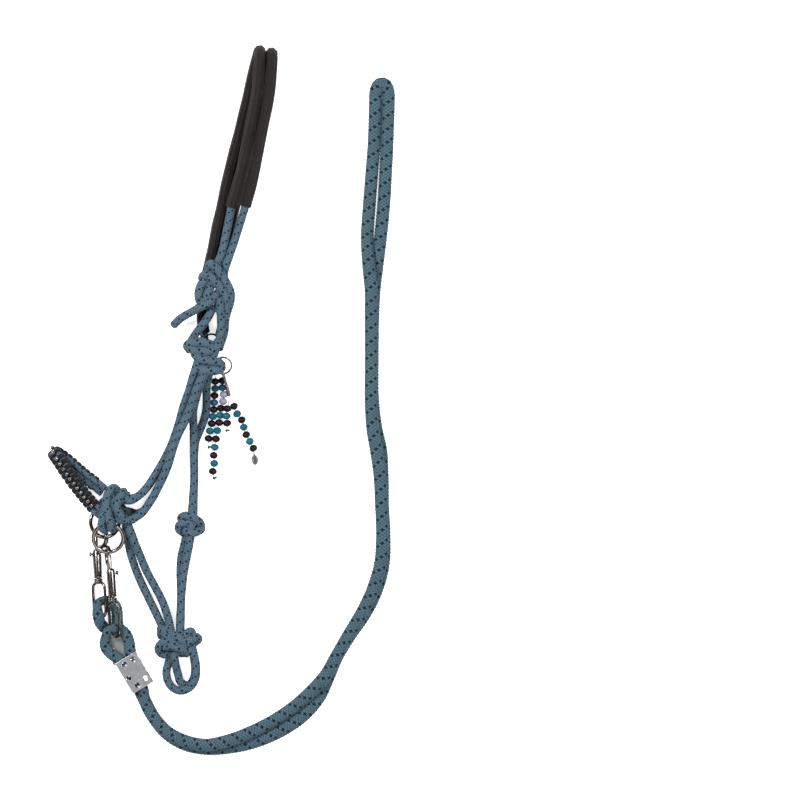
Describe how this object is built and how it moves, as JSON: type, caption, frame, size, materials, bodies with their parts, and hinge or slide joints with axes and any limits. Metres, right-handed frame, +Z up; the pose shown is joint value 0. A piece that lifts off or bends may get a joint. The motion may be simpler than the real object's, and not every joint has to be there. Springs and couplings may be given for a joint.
{
  "type": "rope halter with clip-on reins",
  "caption": "Knotted rope halter with padded crown sleeves, a laced noseband, side rings, looped reins on bolt snaps, and bead charms.",
  "frame": {"origin": "on the table, under the middle of the halter's own outline, without the reins", "axes": "the halter lies flat on its right side. +Z up from the table through the near side, +Y from the lead loop to the crown, +X from the noseband to the back of the head"},
  "size_m": [0.3466, 0.7087, 0.0415],
  "materials": {
    "blue_rope": "braided polyester cord, steel blue with dark flecks",
    "black_web": "woven black sleeve and lacing",
    "nickel_plate": "nickel plated",
    "clamp_metal": "pressed and plated plate",
    "bead_glass": "glossy, opaque teal, black and clear beads"
  },
  "bodies": {
    "halter": {"crown_rope_left": "blue_rope", "crown_rope_right": "blue_rope", "tie_knot": "blue_rope", "tie_tail": "blue_rope", "tie_leg_left": "blue_rope", "tie_leg_right": "blue_rope", "near_ear_knot": "blue_rope", "far_ear_knot": "blue_rope", "near_cheek_rope_outer": "blue_rope", "near_cheek_rope_inner": "blue_rope", "far_cheek_rope_outer": "blue_rope", "far_cheek_rope_inner": "blue_rope", "near_throat_rope": "blue_rope", "far_throat_rope": "blue_rope", "throat_knot": "blue_rope", "throat_lower_rope_left": "blue_rope", "throat_lower_rope_right": "blue_rope", "near_nose_knot": "blue_rope", "far_nose_knot": "blue_rope", "noseband_rope_upper": "blue_rope", "noseband_rope_lower": "blue_rope", "near_chin_rope": "blue_rope", "far_chin_rope": "blue_rope", "fiador_knot": "blue_rope", "lead_loop_outer": "blue_rope", "lead_loop_inner": "blue_rope", "near_rein_loop": "blue_rope", "far_rein_loop": "blue_rope", "rein_rope": "blue_rope", "crown_sleeve_left": "black_web", "crown_sleeve_right": "black_web", "noseband_lacing": "black_web", "noseband_ball_chain": "nickel_plate", "far_ring": "nickel_plate", "far_snap_body": "nickel_plate", "far_snap_spring": "nickel_plate", "near_charm_ring": "nickel_plate", "far_charm_ring": "nickel_plate", "near_clamp_top_plate": "clamp_metal", "near_clamp_bottom_plate": "clamp_metal", "far_clamp_top_plate": "clamp_metal", "far_clamp_bottom_plate": "clamp_metal", "far_strand_left": "bead_glass", "far_strand_long": "bead_glass"},
    "near_ring": {"near_ring": "nickel_plate"},
    "near_snap": {"near_snap_body": "nickel_plate", "near_snap_spring": "nickel_plate"},
    "near_bolt": {"near_snap_bolt": "nickel_plate"},
    "near_eye": {"near_swivel_eye": "nickel_plate"},
    "far_bolt": {"far_snap_bolt": "nickel_plate"},
    "far_eye": {"far_swivel_eye": "nickel_plate"},
    "near_charm": {"charm_clasp": "nickel_plate", "near_strand_right": "bead_glass", "near_strand_short": "bead_glass"},
    "clasp_lever": {"clasp_lever": "nickel_plate"},
    "feather": {"feather_pendant": "nickel_plate"}
  },
  "joints": [
    {"name": "near_ring_swing", "type": "hinge", "parent": "halter", "child": "near_ring", "pos_m": [-0.0535, -0.15304, 0.0245], "axis": [-1, 0, 0], "range_deg": [0, 10]},
    {"name": "near_snap_swing", "type": "hinge", "parent": "near_ring", "child": "near_snap", "pos_m": [-0.0535, -0.18096, 0.0135], "axis": [-1, 0, 0], "range_deg": [-14, 0]},
    {"name": "near_bolt_slide", "type": "slide", "parent": "near_snap", "child": "near_bolt", "axis": [0.077, -0.997, -0.01], "range_m": [0, 0.008], "stiffness_N_per_m": 400, "deforming": ["near_snap_spring"]},
    {"name": "near_eye_swivel", "type": "hinge", "parent": "near_snap", "child": "near_eye", "pos_m": [-0.04889, -0.22891, 0.0201], "axis": [0.077, -0.997, -0.01], "range_deg": [-8, 2]},
    {"name": "far_bolt_slide", "type": "slide", "parent": "halter", "child": "far_bolt", "axis": [0.06, -0.9974, 0.04], "range_m": [0, 0.008], "stiffness_N_per_m": 400, "deforming": ["far_snap_spring"]},
    {"name": "far_eye_swivel", "type": "hinge", "parent": "halter", "child": "far_eye", "pos_m": [-0.0636, -0.20992, 0.0066], "axis": [0.06, -0.9974, 0.04], "range_deg": [-4, 1]},
    {"name": "near_charm_lift", "type": "hinge", "parent": "halter", "child": "near_charm", "pos_m": [0.0608, -0.0028, 0.0222], "axis": [-1, 0, 0], "range_deg": [0, 60]},
    {"name": "clasp_lever_press", "type": "hinge", "parent": "near_charm", "child": "clasp_lever", "pos_m": [0.0648, -0.0158, 0.015], "axis": [-1, 0, 0], "range_deg": [0, 12], "stiffness_Nm_per_rad": 0.004},
    {"name": "feather_lift", "type": "hinge", "parent": "near_charm", "child": "feather", "pos_m": [0.0924, -0.0828, 0.0016], "axis": [-1, 0, 0], "range_deg": [0, 45]}
  ],
  "couplings": [
    {"joint": "near_snap_swing", "follows": "near_ring_swing", "ratio": -1.34}
  ]
}
